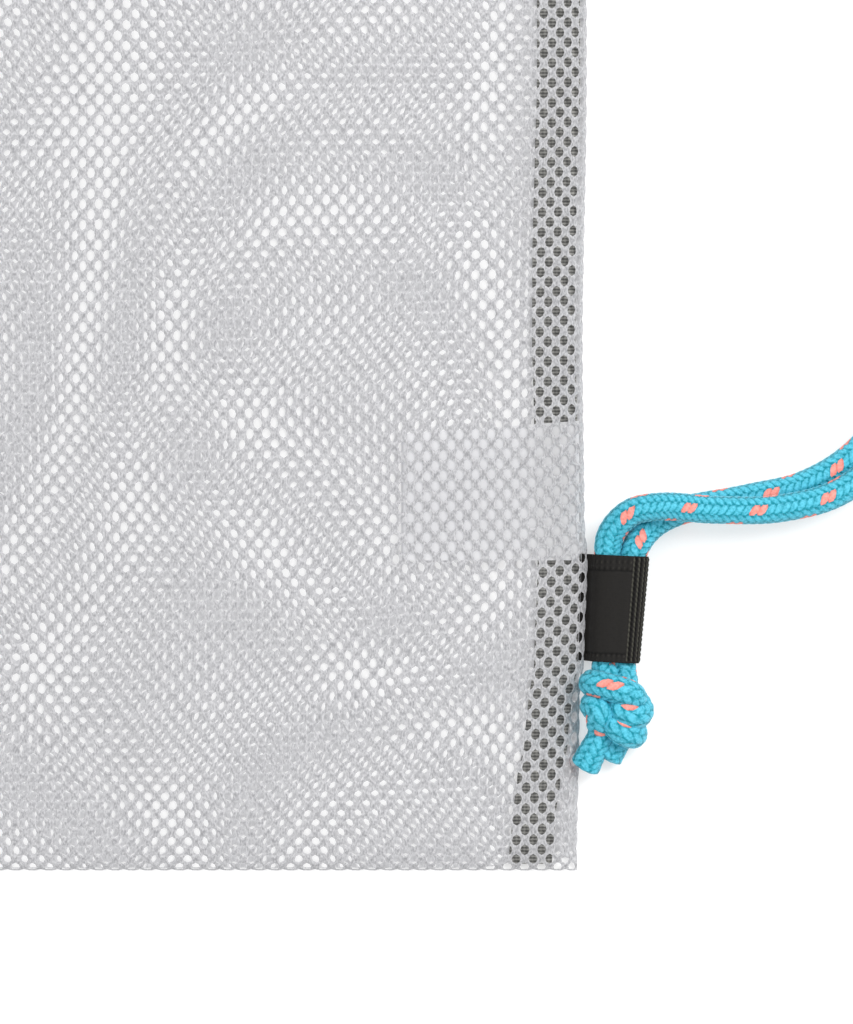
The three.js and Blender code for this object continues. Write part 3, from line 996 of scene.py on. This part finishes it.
def braid_material():
    """Braided cord: blue yarns and one coral yarn that shows as flecks."""
    material, tree, shader = start_material("cord_braid", roughness=0.55, sheen=0.08, specular=0.25)
    u, v = cell_place(tree)
    column = calc("FLOOR", u)
    across = calc("SUBTRACT", calc("SUBTRACT", u, column), 0.5)
    odd = calc("FLOORED_MODULO", column, 2.0)
    lean = calc("SUBTRACT", 1.0, calc("MULTIPLY", odd, 2.0))
    slant = calc("MULTIPLY", calc("MULTIPLY", lean, across), STITCH_LEAN)
    along = calc("ADD", calc("ADD", v, slant), calc("MULTIPLY", odd, 0.5))
    row = calc("FLOOR", along)
    along = calc("SUBTRACT", calc("SUBTRACT", along, row), 0.5)
    gap = ramp(calc("ABSOLUTE", along), STITCH_SIDE, STITCH_EDGE)
    end = ramp(calc("ABSOLUTE", across), STITCH_END, STITCH_EDGE)
    deep = calc("ADD", calc("MULTIPLY", end, CORNER_DEPTH), SIDE_DEPTH)
    seam = calc("MULTIPLY", calc("POWER", end, END_SHARPNESS), END_DEPTH)
    height = calc("SUBTRACT", 1.0, calc("MULTIPLY", gap, deep))
    height = calc("MAXIMUM", calc("SUBTRACT", height, seam), 0.0)
    shift = calc("MULTIPLY", column, 0.5 * FLECK_SHIFT)
    turn = calc("FLOORED_MODULO", calc("ADD", row, shift), FLECK_ROWS)
    coral_row = calc("LESS_THAN", turn, FLECK_LENGTH)
    coral_column = calc("LESS_THAN", odd, 0.5)
    fleck = calc("MULTIPLY", coral_row, coral_column)
    fleck = calc("MULTIPLY", fleck, ramp(height, *FLECK_EDGE))
    fibre = grain(tree, BRAID_FIBRE)
    # Painted shade: darker in the gaps and on one side of each stitch, with painted highlight on the tops;
    # the fibre adds a random tone
    tone = weighted((height, 1.0), (fibre, BRAID_FIBRE_WEIGHT), (along, BRAID_SIDE_SHADE_WEIGHT))
    tone = ramp(tone, *BRAID_TONES)
    blue = blend(tone, BLUE_SHADED, BLUE_LIT)
    coral = blend(tone, CORAL_SHADED, CORAL_LIT)
    colour = blend(fleck, blue, coral)
    relief = weighted((height, 1.0), (fibre, BRAID_FIBRE_RELIEF))
    paint(shader, colour, relief, BRAID_BUMP)
    return material


def tape_material():
    """Woven tape: fine ribs across it."""
    material, tree, shader = start_material("binding_tape", roughness=0.85, sheen=0.1, specular=0.2)
    place = add_node(tree, "ShaderNodeNewGeometry")
    split = add_node(tree, "ShaderNodeSeparateXYZ", {0: place.outputs["Position"]})
    warp = waves(split.outputs[0], TAPE_WARP * MM)
    rib = waves(split.outputs[1], TAPE_RIB * MM)
    fuzz = noise(tree, TAPE_GRAIN)
    weave = weighted((rib, TAPE_RIB_WEIGHT), (warp, TAPE_WARP_WEIGHT), (fuzz, 1.0))
    colour = blend(ramp(weave, *TAPE_TONES), TAPE_DARK, TAPE_LIGHT)
    paint(shader, colour, weave, TAPE_BUMP)
    return material


def label_material():
    """White satin label cloth, thin enough for the tape to show under it."""
    material, tree, shader = start_material("label_cloth", roughness=0.5, specular=0.3)
    fibre = noise(tree, LABEL_FIBRE)
    colour = blend(fibre, LABEL_SHADE, LABEL_WHITE)
    paint(shader, colour, fibre, LABEL_BUMP)
    show_through(shader, colour, LABEL_THROUGH)
    return material


def ribbon_material():
    """Black woven ribbon. Its first coordinate is the tone of its ribs: 0 in the grooves, as painted shade,
    and 1 on top, as painted highlight.
    """
    material, tree, shader = start_material("tab_ribbon", roughness=0.6, specular=0.1)
    tone, along = cell_place(tree)
    weft = waves(along, RIBBON_WEFT)
    weave = weighted((weft, RIBBON_WEFT_WEIGHT), (grain(tree, RIBBON_GRAIN), 1.0))
    shade = weighted((tone, 1.0), (weave, RIBBON_GRAIN_WEIGHT))
    # Painted shade in the grooves and painted highlight on the ribs, from the tone of the relief
    colour = blend(ramp(shade, *RIBBON_SHADE_LIMITS), RIBBON_GROOVE_SHADE, RIBBON_FACE)
    colour = blend(ramp(shade, *RIBBON_HIGHLIGHT_LIMITS), colour, RIBBON_RIB_HIGHLIGHT)
    paint(shader, colour, weave, RIBBON_BUMP)
    return material


def floor_material():
    """A white surface lit from below and above, so that cloth and cords throw almost no shadow."""
    material = bpy.data.materials.new("floor")
    material.use_nodes = True
    tree = material.node_tree
    tree.nodes.clear()
    lit = add_node(tree, "ShaderNodeEmission", {"Color": WHITE, "Strength": FLOOR_GLOW})
    matt = add_node(tree, "ShaderNodeBsdfDiffuse", {"Color": FLOOR_GREY})
    both = add_node(tree, "ShaderNodeAddShader", {0: lit.outputs[0], 1: matt.outputs[0]})
    output = add_node(tree, "ShaderNodeOutputMaterial", {"Surface": both.outputs[0]})
    output.is_active_output = True
    return material


# Tape, label and tabs

TAPE_WIDTH = 9.6
TAPE_FOOT_Y = -223.5
TAPE_TOP_Y = 195.0
TAPE_STEP = 1.0
TAPE_LOW_Z = 0.8
TAPE_HIGH_Z = 1.5
# Rounding of its edges, and the share of the thickness that stands upright there
TAPE_ROUND = 0.25
TAPE_UPRIGHT = 0.4
# Distance of its outer edge from the side seam, at heights y
TAPE_INSET = [
    (-224, 5.6),
    (-214, 5.0),
    (-205, 4.1),
    (-196, 2.6),
    (-187, 1.9),
    (-178, 1.5),
    (-125, 1.4),
    (-105, 1.7),
    (-85, 1.9),
    (-65, 1.8),
    (-50, 1.5),
    (60, 1.8),
    (196, 1.7),
]


def grid_faces(rows, columns, closed=False):
    """Quads of a grid of points, row by row; closed joins each row's end to its start."""
    faces = []
    last = columns if closed else columns - 1
    for i in range(rows - 1):
        for j in range(last):
            k = (j + 1) % columns
            here = i * columns
            above = here + columns
            faces.append([here + j, here + k, above + k, above + j])
    return faces


def add_tape(side):
    """A strip of tape inside a side seam."""
    sign = 1 if side == "right" else -1
    heights = np.arange(TAPE_FOOT_Y, TAPE_TOP_Y, TAPE_STEP)
    outer = half_width(heights) - from_table(TAPE_INSET, heights)
    middle_z = (TAPE_LOW_Z + TAPE_HIGH_Z) / 2
    deep = (TAPE_HIGH_Z - TAPE_LOW_Z) / 2
    section = [
        (0.0, -TAPE_UPRIGHT),
        (TAPE_ROUND, -1.0),
        (TAPE_WIDTH / 2, -1.0),
        (TAPE_WIDTH - TAPE_ROUND, -1.0),
        (TAPE_WIDTH, -TAPE_UPRIGHT),
    ]
    section += [(x, -z) for x, z in section[::-1]]
    rows = []
    for y, x in zip(heights, outer):
        for inward, level in section:
            rows.append((sign * (x - inward), y, middle_z + deep * level))
    count = len(section)
    faces = grid_faces(len(heights), count, closed=True)
    faces.append(list(range(count))[::-1])
    faces.append(list(range(len(rows) - count, len(rows))))
    if sign > 0:
        faces = [face[::-1] for face in faces]
    return add_object("tape_" + side, rows, faces)


# Label: its lower and upper edge, its fold and its outer end, the height of its lower leaf, its gap to the
# front, the fall of its upper edge towards the fold, and its steps
LABEL_LOW_Y = -156.2
LABEL_HIGH_Y = -125.3
LABEL_FOLD_X = 134.0
LABEL_OUTER_X = 173.4
LABEL_LOW_Z = 1.75
LABEL_GAP = 0.3
LABEL_DROP = 3.0
LABEL_STEPS = 20
LABEL_ROWS = 30
LABEL_ARC_STEP = 20


def to_fold(x):
    """Share of the way from the label's outer end to its fold."""
    return (LABEL_OUTER_X - x) / (LABEL_OUTER_X - LABEL_FOLD_X)


def under_front(x, y):
    """Height of the label's upper leaf, which lies just under the front."""
    inset = half_width(y) - x
    return front_height(inset, y, edge_rise(along_cloth(inset))) - LABEL_GAP


def label_row(share):
    """Points of the label at a share of its height: lower leaf to the fold, fold, upper leaf back."""
    def height_at(x):
        return LABEL_LOW_Y + share * (LABEL_HIGH_Y - LABEL_LOW_Y - LABEL_DROP * to_fold(x))

    bend = (under_front(LABEL_FOLD_X, height_at(LABEL_FOLD_X)) - LABEL_LOW_Z) / 2
    xs = np.linspace(LABEL_OUTER_X, LABEL_FOLD_X + bend, LABEL_STEPS)
    row = [(x, height_at(x), LABEL_LOW_Z) for x in xs]
    for degrees in range(LABEL_ARC_STEP, 180, LABEL_ARC_STEP):
        angle = math.radians(degrees)
        x = LABEL_FOLD_X + bend - bend * math.sin(angle)
        row.append((x, height_at(x), LABEL_LOW_Z + bend - bend * math.cos(angle)))
    row += [(x, height_at(x), under_front(x, height_at(x))) for x in xs[::-1]]
    return row


def add_label():
    """A strip folded in half, with the fold towards the middle of the bag."""
    rows = [label_row(share) for share in np.linspace(0.0, 1.0, LABEL_ROWS)]
    faces = [face[::-1] for face in grid_faces(LABEL_ROWS, len(rows[0]))]
    return add_object("care_label_cloth", np.vstack(rows), faces)


# Tab: its length, half its ribbon's thickness, its lean at the seam and at its reach, the fall of its ends,
# and the height below which its lower side lies
TAB_LENGTH = 23.6
TAB_HALF_WALL = 0.35
TAB_LEAN_INNER = math.tan(math.radians(1.9))
TAB_LEAN_OUTER = math.tan(math.radians(5.2))
TAB_SLOPE = 0.045
TAB_REACH = 12.0
TAB_UNDER_Z = 2.0
# Way of the ribbon round the cord, from the seam over the top and back: out from the side seam, and up
TAB_SECTION = [
    (-1.3, 1.95),
    (0.2, 2.1),
    (1.0, 3.6),
    (1.6, 5.4),
    (2.6, 7.0),
    (4.4, 7.85),
    (7.0, 8.0),
    (9.2, 7.9),
    (11.3, 6.8),
    (12.3, 4.2),
    (11.4, 1.7),
    (9.2, 0.55),
    (7.0, 0.45),
    (3.8, 0.55),
    (1.2, 1.0),
    (-1.3, 1.35),
]
# Ribbed bands along the ribbon's edges: widths, spacing and height of the ribs, length of their stitches
TAB_TOP_BAND = 3.1
TAB_LOW_BAND = 1.6
TAB_RIB = 1.2
TAB_RIB_HEIGHT = 0.14
TAB_RIB_STITCH = 1.5
TAB_RIB_EVEN = 0.6
# Groove beside each band
TAB_GROOVE = 0.16
TAB_GROOVE_WIDTH = 0.22
# Twisted ridges along the fold: where they start, their spacing, height and twist
TAB_RIDGE_X = 9.1
TAB_RIDGE = 1.15
TAB_RIDGE_HEIGHT = 0.24
TAB_TWIST = 1.1
TAB_TWIST_HEIGHT = 0.1
# Widths over which the relief starts and fades at the edges, and its tone: painted shade in the grooves and
# painted highlight on the ribs and ridges
TAB_SOFT = 0.3
TAB_EDGE = 0.4
TAB_TONE = 0.5
TAB_TONE_GAIN = 2.0
TAB_AROUND = 140
TAB_ALONG = 96


def tab_relief(run, y, x, top):
    """Height of the ribbed bands at the ribbon's two edges and of the ridges along its fold."""
    from_edge = TAB_LENGTH / 2 - abs(y)
    from_band = from_edge - np.where(y > 0, TAB_TOP_BAND, TAB_LOW_BAND)
    band = 1 - ease(from_band / TAB_SOFT)
    ribs = band * TAB_RIB_HEIGHT * np.sin(2 * math.pi * run / TAB_RIB)
    stitches = np.cos(2 * math.pi * from_edge / TAB_RIB_STITCH)
    ribs = ribs * (TAB_RIB_EVEN + (1 - TAB_RIB_EVEN) * stitches)
    groove = -TAB_GROOVE * np.exp(-((from_band - TAB_SOFT) / TAB_GROOVE_WIDTH) ** 2)
    fold = ease((x - TAB_RIDGE_X) / TAB_SOFT) * top
    ridges = TAB_RIDGE_HEIGHT * np.sin(2 * math.pi * run / TAB_RIDGE)
    twist = TAB_TWIST_HEIGHT * np.sin(2 * math.pi * (y / TAB_TWIST + run / TAB_RIDGE))
    relief = fold * (ridges + twist) + (1 - fold) * (ribs + groove)
    return relief * ease(from_edge / TAB_EDGE)


def add_tab(side):
    """A loop of ribbon from a side seam, round both strands of a cord."""
    line = smooth_line([(x, 0.0, z) for x, z in TAB_SECTION])
    runs = np.linspace(0.0, run_of(line)[-1], TAB_AROUND)
    line = at_runs(line, runs)
    ahead = unit(np.gradient(line, axis=0))
    out = np.stack([-ahead[:, 2], np.zeros(TAB_AROUND), ahead[:, 0]], axis=1)
    ys = np.linspace(-TAB_LENGTH / 2, TAB_LENGTH / 2, TAB_ALONG)
    y, run = np.meshgrid(ys, runs, indexing="ij")
    x = np.broadcast_to(line[:, 0], y.shape)
    top = np.broadcast_to((line[:, 2] > TAB_UNDER_Z).astype(float), y.shape)
    relief = tab_relief(run, y, x, top)
    lean = TAB_LEAN_INNER + (TAB_LEAN_OUTER - TAB_LEAN_INNER) * np.clip(x / TAB_REACH, 0, 1)
    layers = []
    for offset in (TAB_HALF_WALL + relief, np.full(y.shape, -TAB_HALF_WALL)):
        places = line[None] + out[None] * offset[:, :, None]
        places[:, :, 1] = y - TAB_SLOPE * x
        places[:, :, 0] += lean * y
        layers.append(places.reshape(-1, 3))
    size = TAB_AROUND * TAB_ALONG
    outer = grid_faces(TAB_ALONG, TAB_AROUND)
    faces = outer + [[i + size for i in face[::-1]] for face in outer]
    border = list(range(TAB_AROUND))
    border += [i * TAB_AROUND + TAB_AROUND - 1 for i in range(1, TAB_ALONG)]
    border += list(range(size - 2, size - TAB_AROUND - 1, -1))
    border += [i * TAB_AROUND for i in range(TAB_ALONG - 2, 0, -1)]
    for a, b in zip(border, border[1:] + border[:1]):
        faces.append([b, a, a + size, b + size])
    places = np.vstack(layers)
    # The first coordinate is the tone painted from the relief: painted shade in the grooves and painted
    # highlight on the ribs and ridges
    tones = np.stack([TAB_TONE + TAB_TONE_GAIN * relief.ravel(), y.ravel()], axis=1)
    grid = np.tile(tones, (2, 1))
    if side == "left":
        places = places * (-1, 1, 1)
        faces = [face[::-1] for face in faces]
    sign = 1 if side == "right" else -1
    places = places + np.array([sign * half_width(TAB_Y), TAB_Y, 0.0])
    corners = [grid[i] for face in faces for i in face]
    return add_object("ribbon_tab_" + side, places, faces, corners)


# Building

def finish_piece(obj, material, slot, *nodes):
    obj.data.materials.append(material)
    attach(obj, "root")
    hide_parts(*nodes)
    return obj


MESHES = {
    "front": mesh_material("mesh_cloth", FRONT_PALE, FRONT_GREY, FRONT_THROUGH),
    "back": mesh_material("mesh_cloth_lower_painted_light", BACK_PALE_PAINTED_LIGHT, BACK_GREY_PAINTED_LIGHT, BACK_THROUGH),
}
BRAID = braid_material()
TAPE = tape_material()
LABEL = label_material()
RIBBON = ribbon_material()

for side in ("right", "left"):
    knot = finish_piece(add_knot(side), BRAID, "cord_braid", "knot_" + side)
    cord, path, length = add_cord(side)
    finish_piece(cord, BRAID, "cord_braid", "cord_" + side)
    finish_piece(add_tape(side), TAPE, "binding_tape", "binding_" + side)
    finish_piece(add_tab(side), RIBBON, "tab_ribbon", "cord_tab_" + side)

for name, surface in (("back", back_surface), ("front", front_surface)):
    grid, faces, corners = knit(PANEL_COLUMNS, PANEL_ROWS)
    panel = add_object("mesh_" + name, surface(grid[:, 0], grid[:, 1]), faces, corners)
    finish_piece(panel, MESHES[name], "mesh_cloth", name + "_panel")
    grid, faces, corners = knit(CASING_COLUMNS, CASING_ROWS, closed=True)
    low = CASING_FOOT_Z + (FRONT_CASING_Z if name == "front" else 0.0)
    casing = add_object("hem_" + name, casing_surface(grid[:, 0], grid[:, 1], low), faces, corners)
    finish_piece(casing, MESHES["front"], "mesh_cloth", "casing_" + name)

label = finish_piece(add_label(), LABEL, "label_cloth", "care_label")


# Floor and light

FLOOR_HALF = 4000.0
FLOOR_CORNERS = [(-1, -1), (1, -1), (1, 1), (-1, 1)]
# Place that the lights face, then the name, place, diameter and power of each, in metres and watts
LIGHT_TARGET = (0.14, -0.14, 0.0)
LIGHTS = [
    ("key", (0.75, 0.35, 1.0), 0.7, 12.0),
    ("fill", (-0.8, -0.6, 0.9), 0.9, 4.4),
]
WORLD_LIGHT = 0.72


def add_floor():
    corners = [(FLOOR_HALF * x, FLOOR_HALF * y, 0.0) for x, y in FLOOR_CORNERS]
    floor = add_object("floor", corners, [[0, 1, 2, 3]])
    floor.data.materials.append(floor_material())


def add_light(name, place, size, power):
    data = bpy.data.lights.new(name, "AREA")
    data.shape = "DISK"
    data.size = size
    data.energy = power
    light = linked(name, data)
    light.location = place
    towards = Vector(LIGHT_TARGET) - Vector(place)
    light.rotation_euler = towards.to_track_quat("-Z", "Y").to_euler()


def add_world():
    world = bpy.data.worlds.new("studio")
    world.use_nodes = True
    background = world.node_tree.nodes["Background"]
    background.inputs["Color"].default_value = WHITE
    background.inputs["Strength"].default_value = WORLD_LIGHT
    bpy.context.scene.world = world


add_floor()
for light in LIGHTS:
    add_light(*light)
add_world()
bpy.context.scene.view_settings.view_transform = "Standard"
